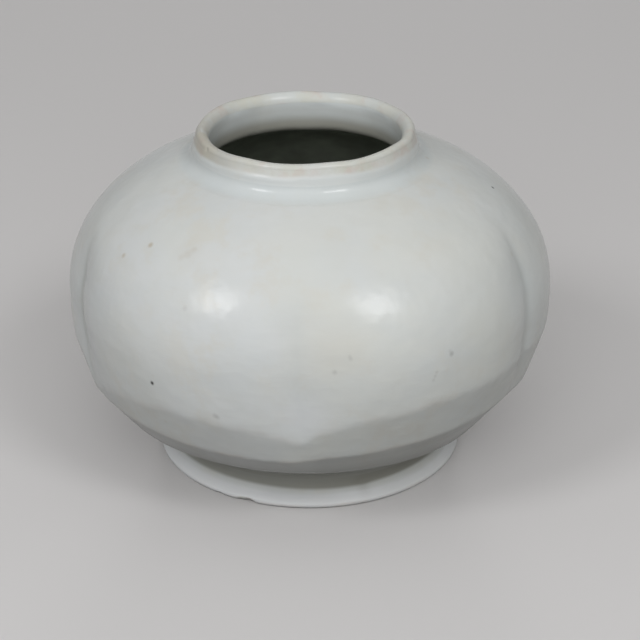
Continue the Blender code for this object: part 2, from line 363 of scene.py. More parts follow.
def hand_wave(azimuth, level):
    """Slow unevenness of the whole wall, about one at most."""
    total = np.zeros_like(azimuth)
    for around, upward, share, phase in HAND_WAVES:
        total += share * np.sin(around * azimuth + tau * upward * level + phase)
    return total


def even_steps(start, end, count):
    return [start + (end - start) * index / (count - 1) for index in range(count)]


def swell_points(half_width, rise, fullness, start_radius, end_radius, count):
    """Profile points along a rounded outline between two radii. Its rise is negative below the belly."""
    power = 2 / fullness
    start = acos((start_radius / half_width) ** (1 / power))
    end = acos((end_radius / half_width) ** (1 / power))
    return [
        (half_width * cos(angle) ** power, BELLY_LEVEL + rise * sin(angle) ** power)
        for angle in even_steps(start, end, count)
    ]


def arc_points(centre, radius, start, end, count, rise=None):
    """Profile points along an arc, which is part of an ellipse where its rise is not its radius."""
    rise = rise or radius
    return [
        (centre[0] + radius * cos(angle), centre[1] + rise * sin(angle))
        for angle in even_steps(start, end, count)
    ]


def cove_points(start, corner, end, count):
    """Profile points along a hollow curve that leaves start and reaches end towards a shared corner."""
    return [
        tuple(
            (1 - t) ** 2 * start[axis] + 2 * t * (1 - t) * corner[axis] + t * t * end[axis]
            for axis in (0, 1)
        )
        for t in even_steps(0.0, 1.0, count)
    ]


def line_on(profile, end, count):
    """Carries a profile on along a straight line."""
    start = profile[-1]
    for index in range(1, count + 1):
        profile.append(tuple(start[axis] + (end[axis] - start[axis]) * index / count for axis in (0, 1)))


def spin_profile(name, profile):
    """Draws a closed half profile of (radius, level) points in front of the axis and spins it to a body."""
    bpy.ops.object.select_all(action="DESELECT")
    bpy.ops.mesh.primitive_plane_add(size=MM, location=(0, 0, 0))
    piece = bpy.context.active_object
    piece.name = name
    piece.data.name = name
    bpy.ops.object.mode_set(mode="EDIT")
    bpy.ops.mesh.select_all(action="SELECT")
    bpy.ops.mesh.merge(type="CENTER")
    here = Vector((0, 0, 0))
    for index, (radius, level) in enumerate(profile):
        there = Vector((0, -radius, level))
        if index == 0:
            bpy.ops.transform.translate(value=there - here)
        else:
            bpy.ops.mesh.extrude_vertices_move(TRANSFORM_OT_translate={"value": there - here})
        here = there
    bpy.ops.mesh.select_all(action="SELECT")
    columns = LOBE_COUNT * COLUMNS_PER_LOBE
    bpy.ops.mesh.spin(steps=columns, angle=tau, center=(0, 0, 0), axis=(0, 0, 1))
    bpy.ops.mesh.select_all(action="SELECT")
    bpy.ops.mesh.remove_doubles(threshold=MERGE_DISTANCE)
    bpy.ops.mesh.normals_make_consistent(inside=False)
    bpy.ops.object.mode_set(mode="OBJECT")
    return piece


def read_points(piece):
    """Azimuth from the front, radius and level of every point, with the columns moved to the grooves."""
    places = np.empty(len(piece.data.vertices) * 3)
    piece.data.vertices.foreach_get("co", places)
    x, y, level = places.reshape(-1, 3).T
    azimuth = crowd_columns(np.arctan2(x, -y) % tau)
    return azimuth, np.hypot(x, y), level.copy()


def crowd_columns(azimuth):
    """Moves the evenly spun columns to the hand-spaced grooves, closer together at each groove."""
    even = azimuth / tau * LOBE_COUNT
    even = np.where(even > LOBE_COUNT - 1e-6, 0.0, even)
    lobe = np.floor(even + 1e-6).astype(int)
    share = even - lobe
    share = share - GROOVE_CROWDING * np.sin(tau * share) / tau
    starts = np.radians(np.array([groove.place for groove in GROOVES]))
    ends = np.append(starts[1:], tau)
    return starts[lobe] + share * (ends[lobe] - starts[lobe])


def settle(form, azimuth, radius, level):
    """Adds the hand's unevenness, the lean of the shoulder and the neck's shift to turned points."""
    wave = form.unevenness * hand_wave(azimuth, level)
    lift = np.clip((level - BELLY_LEVEL) / form.shoulder_rise, -1.0, 1.0)
    fade = smooth_step(radius / (20 * MM)) * smooth_step(level / (14 * MM))
    fade = fade * (1 - 0.7 * smooth_step((level - 66 * MM) / (4 * MM)))
    radius = radius + wave * fade * np.sqrt(1 - 0.8 * lift ** 2)
    level = level + wave * fade * lift * np.where(level > BELLY_LEVEL, 0.9, 0.0)
    x = radius * np.sin(azimuth)
    y = -radius * np.cos(azimuth)
    shift = form.neck_shift * smooth_step((level - 46 * MM) / (24 * MM))
    level = level + 0.008 * x * smooth_step((level - BELLY_LEVEL) / (22 * MM))
    return np.stack((x - shift, y, level), axis=1)


def place_points(form, piece, azimuth, radius, level):
    """Writes worked points back to their piece."""
    piece.data.vertices.foreach_set("co", settle(form, azimuth, radius, level).ravel())
    piece.data.update()


def write_marks(piece, **marks):
    """Keeps numbers from nought to one at every point, by name, for the glaze to read."""
    for name, values in marks.items():
        mark = piece.data.attributes.new(name, "FLOAT", "POINT")
        mark.data.foreach_set("value", np.clip(values, 0.0, 1.0).astype(np.float32))


def pick_finishes(piece, picks):
    """Tells every face which of its piece's finishes it has."""
    piece.data.polygons.foreach_set("material_index", picks.astype(np.int32))


def face_centres(piece):
    """Radius and level of the middle of every face, before the neck's shift matters."""
    centres = np.empty(len(piece.data.polygons) * 3)
    piece.data.polygons.foreach_get("center", centres)
    x, y, level = centres.reshape(-1, 3).T
    return np.hypot(x, y), level


def finish_piece(piece, node, slot, *finishes):
    """Gives a piece its finishes, smooths it up to its sharp rims and hands it to the frame."""
    for name in finishes:
        piece.data.materials.append(finish_named(name))
    bpy.ops.object.select_all(action="DESELECT")
    piece.select_set(True)
    bpy.context.view_layer.objects.active = piece
    bpy.ops.object.shade_smooth_by_angle(angle=radians(SMOOTH_ANGLE))
    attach(piece, "root")
    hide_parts(node)


def put(tree, kind, settings=None, inputs=None):
    """Adds a node, with its settings and its inputs, which are values or other nodes' outputs."""
    node = tree.nodes.new(kind)
    for key, value in (settings or {}).items():
        setattr(node, key, value)
    for key, value in (inputs or {}).items():
        if isinstance(value, bpy.types.NodeSocket):
            tree.links.new(value, node.inputs[key])
        else:
            node.inputs[key].default_value = value
    return node


def opaque(colour):
    """A plain colour with its alpha, or another node's colour as it is."""
    return colour if isinstance(colour, bpy.types.NodeSocket) else (*colour, 1.0)


def mixed(tree, factor, first, second):
    """Mixes two colours, each plain or another node's."""
    inputs = {0: factor, 6: opaque(first), 7: opaque(second)}
    return put(tree, "ShaderNodeMix", {"data_type": "RGBA"}, inputs).outputs[2]


def blended(tree, factor, first, second):
    """Mixes two numbers."""
    return put(tree, "ShaderNodeMix", {"data_type": "FLOAT"}, {0: factor, 2: first, 3: second}).outputs[0]


def ranged(tree, value, low, high, to_low=0.0, to_high=1.0):
    """Maps a value smoothly from one range to another."""
    settings = {"interpolation_type": "SMOOTHSTEP"}
    inputs = {"Value": value, "From Min": low, "From Max": high, "To Min": to_low, "To Max": to_high}
    return put(tree, "ShaderNodeMapRange", settings, inputs).outputs["Result"]


def cloudy(tree, place, scale, detail=2.0, roughness=0.5):
    """Soft noise of a scale in features per metre."""
    inputs = {"Vector": place, "Scale": scale, "Detail": detail, "Roughness": roughness}
    return put(tree, "ShaderNodeTexNoise", None, inputs).outputs["Fac"]


def bumped(tree, height, strength, distance, normal=None):
    """A normal tilted by a height, on top of another normal where one is given."""
    inputs = {"Height": height, "Strength": strength, "Distance": distance}
    if normal is not None:
        inputs["Normal"] = normal
    return put(tree, "ShaderNodeBump", None, inputs).outputs["Normal"]


def times(tree, first, second):
    return put(tree, "ShaderNodeMath", {"operation": "MULTIPLY"}, {0: first, 1: second}).outputs[0]


def most(tree, first, second):
    return put(tree, "ShaderNodeMath", {"operation": "MAXIMUM"}, {0: first, 1: second}).outputs[0]


def marked(tree, name):
    """Reads a number that was kept at the points."""
    settings = {"attribute_name": name, "attribute_type": "GEOMETRY"}
    return put(tree, "ShaderNodeAttribute", settings).outputs["Fac"]


def toned(colour, *shares):
    """A colour times one share, or times a share for each channel."""
    shares = shares if len(shares) == 3 else shares * 3
    return [part * share for part, share in zip(colour, shares)]


def stretched(tree, place, upward):
    """Coordinates that run faster upwards, for bands that lie round the jar."""
    inputs = {"Vector": place, "Scale": (1.0, 1.0, upward)}
    return put(tree, "ShaderNodeMapping", None, inputs).outputs["Vector"]


def start_material(name):
    """A material with its shader and Object coordinates."""
    material = bpy.data.materials.new(name)
    material.use_nodes = True
    tree = material.node_tree
    shader = tree.nodes["Principled BSDF"]
    place = put(tree, "ShaderNodeTexCoord").outputs["Object"]
    return material, tree, shader, place


def dress(tree, shader, colour, gloss, normal):
    """Gives a shader its colour, its roughness and its normal."""
    for name, source in (("Base Color", colour), ("Roughness", gloss), ("Normal", normal)):
        tree.links.new(source, shader.inputs[name])


def speck_place(form, level, azimuth):
    """Where on the skin a speck lies, from its level in millimetres and its azimuth from the camera."""
    turn = np.array([radians(azimuth + VIEW_AZIMUTH) % tau])
    height = np.array([level * MM])
    radius = trimmed_skin(form, turn, height)[0]
    return tuple(settle(form, turn, radius, height)[0])


def speck_mask(tree, place, spot, size):
    """One at a spot, fading to nought at its edge."""
    inputs = {0: place, 1: spot}
    far = put(tree, "ShaderNodeVectorMath", {"operation": "DISTANCE"}, inputs).outputs["Value"]
    return ranged(tree, far, 0.1 * size, size, 1.0, 0.0)


# Specks in the glaze: level in millimetres, degrees from the camera, size in millimetres, strength
IRON_SPECKS = (
    (35.1, -37.0, 0.7, 1.0),
    (61.6, 84.7, 0.6, 0.9),
)
GREY_SPECKS = (
    (42.4, 5.4, 0.8, 0.24),
    (45.0, 8.9, 0.7, 0.2),
    (45.5, 8.7, 0.6, 0.14),
    (42.6, 32.6, 0.85, 0.45),
    (43.3, 32.2, 0.6, 0.15),
    (39.6, 28.6, 0.6, 0.18),
    (38.8, 28.2, 0.6, 0.2),
    (38.0, 27.8, 0.6, 0.18),
    (31.1, -21.2, 0.9, 0.28),
    (30.8, -20.6, 0.8, 0.25),
    (52.1, -30.0, 0.9, 0.14),
)
TAN_SPECKS = (
    (59.7, -48.3, 0.95, 0.7),
    (56.5, -55.1, 0.85, 0.55),
    (60.3, -34.9, 1.5, 0.2),
    (61.1, -33.6, 1.1, 0.2),
    (59.6, -36.4, 1.2, 0.16),
    (60.6, -35.0, 5.0, 0.08),
    (46.0, 8.0, 8.0, 0.1),
    (50.0, 0.5, 13.0, 0.09),
    (42.0, -1.0, 9.0, 0.06),
)
WARM_CLOUDS = (
    (64.6, 0.0, 14.0, 0.2),
    (57.0, 1.0, 12.0, 0.2),
    (48.5, 6.0, 12.0, 0.2),
    (63.4, 29.0, 16.0, 0.26),
    (58.0, 50.0, 18.0, 0.26),
    (44.0, 44.0, 14.0, 0.24),
    (62.5, -38.0, 12.0, 0.2),
    (41.0, -44.0, 11.0, 0.14),
)


def glaze_material(form, glaze):
    """White glaze: clouded, pooled in hollows, thin on edges, specked, and bare clay where wiped."""
    material, tree, shader, place = start_material("white_glaze")
    clouds = ranged(tree, cloudy(tree, place, 24.0, 2.0), 0.15, 0.85, -0.2, 1.2)
    across = put(tree, "ShaderNodeSeparateXYZ", None, {"Vector": place}).outputs["X"]
    across = ranged(tree, across, -45 * MM, 45 * MM, -0.35, 0.35)
    added = {"operation": "ADD", "use_clamp": True}
    clouds = put(tree, "ShaderNodeMath", added, {0: clouds, 1: across}).outputs[0]
    colour = mixed(tree, clouds, glaze.cool, glaze.warm)
    streaks = ranged(tree, cloudy(tree, stretched(tree, place, 2.6), 62.0, 3.0, 0.55), 0.05, 0.95)
    colour = mixed(tree, streaks, colour, toned(glaze.cool, 0.915, 0.935, 0.925))
    mottle = ranged(tree, cloudy(tree, place, 150.0, 3.0, 0.6), 0.3, 0.7, 0.0, 0.3)
    colour = mixed(tree, mottle, colour, toned(glaze.warm, 0.92))
    tinged = ranged(tree, cloudy(tree, place, 115.0, 4.0, 0.65), 0.48, 0.68, 0.0, 0.7)
    tinged = times(tree, tinged, ranged(tree, cloudy(tree, place, 32.0, 1.0), 0.37, 0.6))
    colour = mixed(tree, tinged, colour, TINGE_TINT)
    pooled = marked(tree, "pooled")
    colour = mixed(tree, times(tree, pooled, 0.8), colour, glaze.pooled)
    # Painted light on the foot's lower flare and on the lower front of the belly
    colour = mixed(tree, times(tree, marked(tree, "pale"), 0.8), colour, glaze.pale)
    thin = times(tree, marked(tree, "thin"), ranged(tree, cloudy(tree, place, 160.0), 0.3, 0.7, 0.0, 0.6))
    colour = mixed(tree, thin, colour, THIN_TINT)
    # Painted shade, and the darkening of stains and nicks, read from the points' mark
    colour = mixed(tree, marked(tree, "shade"), colour, PAINTED_SHADE_AND_STAIN_TINT)
    dusty = put(tree, "ShaderNodeTexVoronoi", None, {"Vector": place, "Scale": 95.0}).outputs["Distance"]
    sparse = ranged(tree, cloudy(tree, place, 38.0, 1.0), 0.5, 0.8)
    dusty = times(tree, ranged(tree, dusty, 0.02, 0.08, 1.0, 0.0), times(tree, sparse, 0.6))
    colour = mixed(tree, dusty, colour, glaze.tan)
    tints = (
        (WARM_CLOUDS, CLOUD_TINT),
        (TAN_SPECKS, glaze.tan),
        (GREY_SPECKS, GREY_TINT),
        (IRON_SPECKS, glaze.iron),
    )
    for specks, tint in tints:
        for level, azimuth, size, strength in specks:
            mask = speck_mask(tree, place, speck_place(form, level, azimuth), size * MM)
            colour = mixed(tree, times(tree, mask, strength), colour, tint)
    grain = cloudy(tree, place, 420.0, 3.0, 0.6)
    clay = mixed(tree, grain, toned(glaze.clay, 0.94), toned(glaze.clay, 1.06))
    stains = ranged(tree, cloudy(tree, place, 75.0, 3.0), 0.3, 0.85, 0.0, 0.7)
    clay = mixed(tree, stains, clay, toned(glaze.clay, 0.93, 0.91, 0.78))
    blush = ranged(tree, cloudy(tree, place, 210.0, 3.0, 0.6), 0.46, 0.68, 0.0, 0.75)
    clay = mixed(tree, blush, clay, BLUSH_TINT)
    clay = mixed(tree, times(tree, marked(tree, "stained"), 0.55), clay, STAIN_TINT)
    bare = marked(tree, "bare")
    wiped_off = ranged(tree, cloudy(tree, place, 165.0, 3.0, 0.6), 0.36, 0.6, 0.4, 1.0)
    colour = mixed(tree, times(tree, bare, wiped_off), colour, clay)
    gloss = ranged(tree, cloudy(tree, place, 60.0, 3.0), 0.05, 0.95, 0.19, 0.27)
    gloss = blended(tree, pooled, gloss, 0.14)
    gloss = blended(tree, marked(tree, "pale"), gloss, 0.265)
    gloss = blended(tree, bare, gloss, 0.265)
    shader.inputs["IOR"].default_value = 1.5
    sheen = blended(tree, marked(tree, "pale"), 0.27, 0.12)
    tree.links.new(sheen, shader.inputs["Specular IOR Level"])
    rippled = bumped(tree, cloudy(tree, place, 130.0, 2.0), 1.0, 0.23 * MM)
    wiped = cloudy(tree, stretched(tree, place, 5.0), 150.0, 2.0)
    rippled = bumped(tree, wiped, 1.0, 0.025 * MM, rippled)
    dimpled = bumped(tree, cloudy(tree, place, 320.0, 1.0), 1.0, 0.045 * MM, rippled)
    peeled = bumped(tree, cloudy(tree, place, 700.0, 2.0), 0.15, 0.10 * MM, dimpled)
    pitted = bumped(tree, times(tree, grain, bare), 0.3, 0.2 * MM, peeled)
    dress(tree, shader, colour, gloss, pitted)
    return material


def inside_material(glaze):
    """The body's inside: a dark, clouded colour over throwing marks."""
    material, tree, shader, place = start_material("dark_inside")
    clouds = ranged(tree, cloudy(tree, place, 45.0, 4.0, 0.6), 0.35, 0.65)
    colour = mixed(tree, clouds, glaze.inside, toned(glaze.inside, 0.62))
    gloss = ranged(tree, cloudy(tree, place, 90.0, 2.0), 0.3, 0.7, 0.55, 0.75)
    dress(tree, shader, colour, gloss, bumped(tree, cloudy(tree, place, 500.0, 3.0), 0.2, 0.2 * MM))
    return material


def clay_material(glaze):
    """Unglazed fired clay of the recess under the base."""
    material, tree, shader, place = start_material("fired_clay")
    grain = ranged(tree, cloudy(tree, place, 420.0, 4.0, 0.65), 0.3, 0.7)
    colour = mixed(tree, grain, glaze.clay, toned(glaze.clay, 1.1))
    blush = ranged(tree, cloudy(tree, place, 40.0, 2.0), 0.45, 0.7, 0.0, 0.6)
    colour = mixed(tree, blush, colour, UNDER_BLUSH_TINT)
    stains = ranged(tree, cloudy(tree, place, 150.0, 3.0), 0.55, 0.75, 0.0, 0.6)
    colour = mixed(tree, stains, colour, UNDER_STAIN_TINT)
    gloss = ranged(tree, grain, 0.0, 1.0, 0.6, 0.8)
    dress(tree, shader, colour, gloss, bumped(tree, grain, 0.4, 0.15 * MM))
    return material


def finish_named(name):
    """A finish by its name, made the first time that a piece asks for it."""
    if name in bpy.data.materials:
        return bpy.data.materials[name]
    glaze = bpy.context.scene.jar_glaze
    if name == "white_glaze":
        return glaze_material(bpy.context.scene.jar_form, glaze)
    if name == "dark_inside":
        return inside_material(glaze)
    return clay_material(glaze)


def throat_shade(level):
    """How far the throat is darkened with painted shade, from the lip down into the body."""
    depth = RIM_LEVEL - level
    upper = 0.3 * smooth_step((depth - 1.6 * MM) / (2.4 * MM))
    return upper + 0.7 * smooth_step((depth - 4.2 * MM) / (2.9 * MM))


def write_skin_marks(form, piece, azimuth, level, outside, throat):
    """Marks of the body's outer skin, the same on both halves and on the slip between them."""
    thin, cut_one, cut_two = trimmed_skin(form, azimuth, level)[1:]
    pooled = np.zeros_like(azimuth)
    # Painted shade: darker on the knife's two cuts and darker towards the base, under the belly
    shade = 0.1 * cut_one + 0.18 * cut_two + 0.45 * smooth_step((19 * MM - level) / (6 * MM))
    for groove in GROOVES:
        away = groove_away(form, groove, azimuth, level)
        reach = groove.depth * groove_reach(groove, level)
        pooled = np.maximum(pooled, 0.4 * reach * np.exp(-away / (3.5 * MM)))
        # Painted shade along the bottom of each groove
        dark = 0.75 * bell(away, 1.3 * MM) + 0.25 * np.exp(-away / (5 * MM))
        shade = shade + groove.dark * reach * dark
    # Painted light: a lighter patch on the lower front of the belly, above the cuts
    run = bell(turn_from(azimuth, 2.0) * form.belly_radius, 6 * MM)
    run = run * bell(level - 32 * MM, 5 * MM) * (1 - cut_one)
    write_marks(
        piece,
        pooled=np.where(outside, pooled, 0.0),
        thin=np.where(outside, thin, 0.0),
        shade=np.where(outside, shade, throat),
        pale=np.where(outside, 0.75 * run, 0.0),
    )


def joint_places(form):
    """Radii and levels where the sections meet, shared by the pieces on both sides of each joint."""
    hem_radius = form.mouth_radius + 7.0 * MM
    return {
        "hem": (hem_radius, float(shoulder_level(form, hem_radius))),
        "collar": (form.mouth_radius + 3.75 * MM, RIM_LEVEL - 4.3 * MM),
        "seam_low": BELLY_LEVEL - SEAM / 2,
        "seam_high": BELLY_LEVEL + SEAM / 2,
        "waist": (form.foot_waist + 0.05 * MM, 6.2 * MM),
        "foot_inner": form.foot_waist - 4.6 * MM,
    }


class JAR_OT_turn_foot(bpy.types.Operator):
    """Turns the splayed foot ring, with a chip in its edge"""

    bl_idname = "jar.turn_foot"
    bl_label = "Turn Foot Ring"

    def execute(self, context):
        form = context.scene.jar_form
        joints = joint_places(form)
        inner = joints["foot_inner"]
        waist = form.foot_waist
        profile = [joints["waist"]]
        line_on(profile, (waist, 5.2 * MM), 3)
        edge_roll = 0.75 * MM
        flare_top = (waist + 0.75 * MM, 2.55 * MM)
        flare_edge = (FOOT_RADIUS - 0.2 * MM, edge_roll + 0.52 * MM)
        profile += cove_points((waist, 5.2 * MM), (waist, 3.5 * MM), flare_top, 12)[1:]
        line_on(profile, flare_edge, 10)
        profile += arc_points((FOOT_RADIUS - edge_roll, edge_roll), edge_roll, 0.76, -pi / 2, 11)[1:]
        line_on(profile, (inner + 2.4 * MM, 0.0), 5)
        profile += arc_points((inner + 2.4 * MM, 1.0 * MM), 1.0 * MM, -pi / 2, -pi, 5)[1:]
        line_on(profile, (inner, joints["waist"][1]), 7)
        line_on(profile, joints["waist"], 3)
        piece = spin_profile("foot_ring_turned", profile)
        azimuth, radius, level = read_points(piece)
        along = turn_from(azimuth, -21.0) * FOOT_RADIUS
        ragged = 1 + 0.3 * np.sin(along / (0.5 * MM))
        ragged = ragged + 0.25 * np.sin(along / (0.23 * MM) + level / (0.3 * MM))
        bite = 1 - (along / (2.6 * MM)) ** 2 - (level / (1.3 * MM)) ** 2
        nick_along = turn_from(azimuth, -32.5) * FOOT_RADIUS
        nick = 0.7 - (nick_along / (1.4 * MM)) ** 2 - (level / (0.9 * MM)) ** 2
        outside = radius > waist + 0.3 * MM
        chip = np.where(outside, (np.clip(bite, 0, 1) + np.clip(nick, 0, 1)) * ragged, 0.0)
        place_points(form, piece, azimuth, radius - 0.5 * MM * chip, level + 0.15 * MM * chip)
        edge = 0.4 * MM + 0.1 * MM * np.sin(5 * azimuth + 0.5) + 0.08 * MM * np.sin(11 * azimuth)
        bare = smooth_step((edge - level) / (0.25 * MM)) + smooth_step(chip / 0.1)
        bare = bare + smooth_step((inner + 3.0 * MM - radius) / MM) * smooth_step((3.0 * MM - level) / MM)
        stain_across = turn_from(azimuth, 24.0) * FOOT_RADIUS
        stain = bell(stain_across, 1.5 * MM) * bell(level - 3.6 * MM, 1.6 * MM)
        # Painted shadow: the upper foot, under the belly, is darker above a wavering level
        painted_shadow_level = 3.3 * MM - 0.15 * MM * np.sin(4 * azimuth)
        painted_shadow_level = painted_shadow_level + 0.4 * MM * bell(turn_from(azimuth, 48.0), radians(26.0))
        painted_belly_shadow = smooth_step((level - painted_shadow_level) / (0.9 * MM))
        # Darker towards the right of the foot's flare
        right_flare_darkening = bell(turn_from(azimuth, 42.0), radians(26.0))
        write_marks(
            piece,
            bare=bare,
            pooled=0.5 * smooth_step((level - 4.6 * MM) / (1.6 * MM)),
            shade=0.25 * stain + 0.85 * painted_belly_shadow + 0.2 * right_flare_darkening,
            # Painted light: the lower part of the foot's flare is lighter
            pale=smooth_step((3.6 * MM - level) / (1.2 * MM)) * smooth_step((radius - waist) / MM),
            thin=np.exp(-np.abs(level - edge - 0.3 * MM) / (0.25 * MM)),
        )
        finish_piece(piece, "foot_ring", "foot_glaze", "white_glaze")
        return {"FINISHED"}


def foot_joint(form, joints):
    """The slip that holds the foot ring to the base, wiped to a cove."""
    waist = joints["waist"]
    inner = joints["foot_inner"]
    top = (FOOT_RADIUS, BASE_LEVEL)
    profile = cove_points(top, (waist[0] + 0.15 * MM, BASE_LEVEL - 0.35 * MM), waist, 14)
    line_on(profile, (inner, waist[1]), 3)
    line_on(profile, (inner, BASE_LEVEL), 3)
    line_on(profile, top, 3)
    piece = spin_profile("foot_joint_slip", profile)
    azimuth, radius, level = read_points(piece)
    place_points(form, piece, azimuth, radius, level)
    # Painted shade over the whole cove under the body, and glaze pooled in it
    write_marks(piece, pooled=np.full_like(level, 0.6), shade=np.full_like(level, 0.9))
    finish_piece(piece, "foot_slip", "slip", "white_glaze")


def belly_joint(form, joints):
    """The slip in the belly's seam, squeezed out inside."""
    low = joints["seam_low"]
    high = joints["seam_high"]
    outer = form.belly_radius
    inner = outer - WALL
    profile = [(outer, high), (outer, BELLY_LEVEL), (outer, low)]
    line_on(profile, (inner, low), 4)
    profile += arc_points((inner, BELLY_LEVEL), 0.9 * MM, 1.3 * pi, 0.7 * pi, 7)
    profile += [(inner, high)]
    line_on(profile, (outer, high), 4)
    piece = spin_profile("belly_seam_slip", profile)
    azimuth, radius, level = read_points(piece)
    press = groove_press(form, azimuth, level)[0]
    skin = trimmed_skin(form, azimuth, level)[0]
    outside = radius > outer - 0.1 * MM
    radius = np.where(outside, skin, radius - 0.6 * press)
    place_points(form, piece, azimuth, radius, level)
    write_skin_marks(form, piece, azimuth, level, outside, 0.0)
    middle = face_centres(piece)[0]
    pick_finishes(piece, np.where(middle < inner + 1.0 * MM, 1, 0))
    finish_piece(piece, "belly_slip", "slip", "white_glaze", "dark_inside")


def neck_joint(form, joints):
    """The slip between shoulder and neck, wiped to a fillet."""
    hem = joints["hem"]
    collar = joints["collar"]
    mouth = form.mouth_radius
    corner = (collar[0] + 0.15 * MM, hem[1] + 0.75 * MM)
    profile = cove_points(collar, corner, hem, 20)
    line_on(profile, (mouth, hem[1]), 6)
    line_on(profile, (mouth, collar[1]), 5)
    line_on(profile, collar, 4)
    piece = spin_profile("neck_fillet_slip", profile)
    azimuth, radius, level = read_points(piece)
    place_points(form, piece, azimuth, radius, level)
    inside = radius < mouth + 0.5 * MM
    fillet = 0.5 * smooth_step((hem[0] + 0.5 * MM - radius) / (2 * MM))
    # Painted shade down the inside of the throat
    shade = np.where(inside, throat_shade(level), 0.0)
    write_marks(piece, pooled=np.where(inside, 0.6, fillet), shade=shade)
    finish_piece(piece, "neck_slip", "slip", "white_glaze")


class JAR_OT_lute_joints(bpy.types.Operator):
    """Lays the three rings of slip that join the sections: under the base, at the belly and at the neck"""

    bl_idname = "jar.lute_joints"
    bl_label = "Lute Joints"

    def execute(self, context):
        form = context.scene.jar_form
        joints = joint_places(form)
        foot_joint(form, joints)
        belly_joint(form, joints)
        neck_joint(form, joints)
        return {"FINISHED"}


def press_and_trim(form, piece):
    """Gives a half its lobes, its cuts and the marks that the glaze reads."""
    azimuth, radius, level = read_points(piece)
    plain = plain_radius(form, level)
    outside = radius > plain - 0.05 * MM
    outside &= ~((level < BASE_LEVEL + 0.001 * MM) & (radius < FOOT_RADIUS - 0.01 * MM))
    skin = trimmed_skin(form, azimuth, level)[0]
    base_share = smooth_step((level - BASE_LEVEL) / (1.5 * MM))
    skin = np.where(level < BELLY_LEVEL, plain + (skin - plain) * base_share, skin)
    press = groove_press(form, azimuth, level)[0]
    moved = np.where(outside, skin, radius - 0.6 * press * smooth_step(radius / (30 * MM)))
    place_points(form, piece, azimuth, moved, level)
    # Painted shade inside the throat, near the mouth
    throat = throat_shade(level) * smooth_step((form.mouth_radius + 4 * MM - radius) / (0.5 * MM))
    write_skin_marks(form, piece, azimuth, level, outside, throat)


def lower_half(form, joints):
    """The lower half, with its base and the recess under it."""
    seam = joints["seam_low"]
    floor = BASE_LEVEL + BASE
    inner_rim = float(hollow_radius(form, seam))
    outer_rim = float(crest_radius(form, seam))
    half_width = form.belly_radius - WALL
    profile = swell_points(half_width, floor - BELLY_LEVEL, HOLLOW_FULLNESS, 0.0, inner_rim, 30)
    line_on(profile, (outer_rim, seam), 4)
    steps = 74
    for index in range(1, steps + 1):
        level = seam + (BASE_LEVEL + MIDDLE_CONE.height - seam) * index / steps
        profile.append((float(plain_radius(form, level)), level))
    line_on(profile, (FOOT_RADIUS, BASE_LEVEL), 22)
    recess = joints["foot_inner"]
    line_on(profile, (recess, BASE_LEVEL), 4)
    steps = 60
    for index in range(1, steps + 1):
        radius = recess * (1 - index / steps)
        start = min(1.0, index / 4)
        ring = 0.16 * MM * sin(radius / (0.72 * MM)) * start * min(1.0, radius / (3 * MM))
        profile.append((radius, BASE_LEVEL + 0.2 * MM * start + ring))
    piece = spin_profile("lower_body_thrown", profile)
    press_and_trim(form, piece)
    middle, height = face_centres(piece)
    limit = hollow_radius(form, np.clip(height, floor, seam)) + 1.0 * MM
    inside = (middle < limit) & (height > floor - 0.5 * MM)
    under = (height < BASE_LEVEL + 1.0 * MM) & (middle < recess + 1.5 * MM)
    pick_finishes(piece, np.where(under, 2, np.where(inside, 1, 0)))
    finish_piece(piece, "lower_body", "body_glaze", "white_glaze", "dark_inside", "fired_clay")


def upper_half(form, joints):
    """The upper half, with its shoulder and its mouth hole."""
    seam = joints["seam_high"]
    hem = joints["hem"]
    mouth = form.mouth_radius
    half_width = form.belly_radius - WALL
    rise = form.shoulder_rise - CROWN
    outer_rim = float(crest_radius(form, seam))
    inner_rim = float(hollow_radius(form, seam))
    fullness = form.shoulder_fullness
    profile = swell_points(form.belly_radius, form.shoulder_rise, fullness, hem[0], outer_rim, 96)
    line_on(profile, (inner_rim, seam), 4)
    profile += swell_points(half_width, rise, fullness, inner_rim, mouth + 3.4 * MM, 26)[1:]
    turn = profile[-1][1]
    profile += cove_points(profile[-1], (mouth, turn + 0.5 * MM), (mouth, hem[1] - 0.1 * MM), 16)[1:]
    line_on(profile, (mouth, hem[1]), 1)
    line_on(profile, hem, 6)
    piece = spin_profile("upper_body_thrown", profile)
    press_and_trim(form, piece)
    middle, height = face_centres(piece)
    limit = hollow_radius(form, height) + 1.0 * MM
    pick_finishes(piece, np.where((middle < limit) & (height < turn), 1, 0))
    finish_piece(piece, "upper_body", "body_glaze", "white_glaze", "dark_inside")


class JAR_OT_throw_body(bpy.types.Operator):
    """Throws the two halves of the body, presses the lobes and trims the lower half with a knife"""

    bl_idname = "jar.throw_body"
    bl_label = "Throw Body Halves"

    def execute(self, context):
        form = context.scene.jar_form
        joints = joint_places(form)
        lower_half(form, joints)
        upper_half(form, joints)
        return {"FINISHED"}


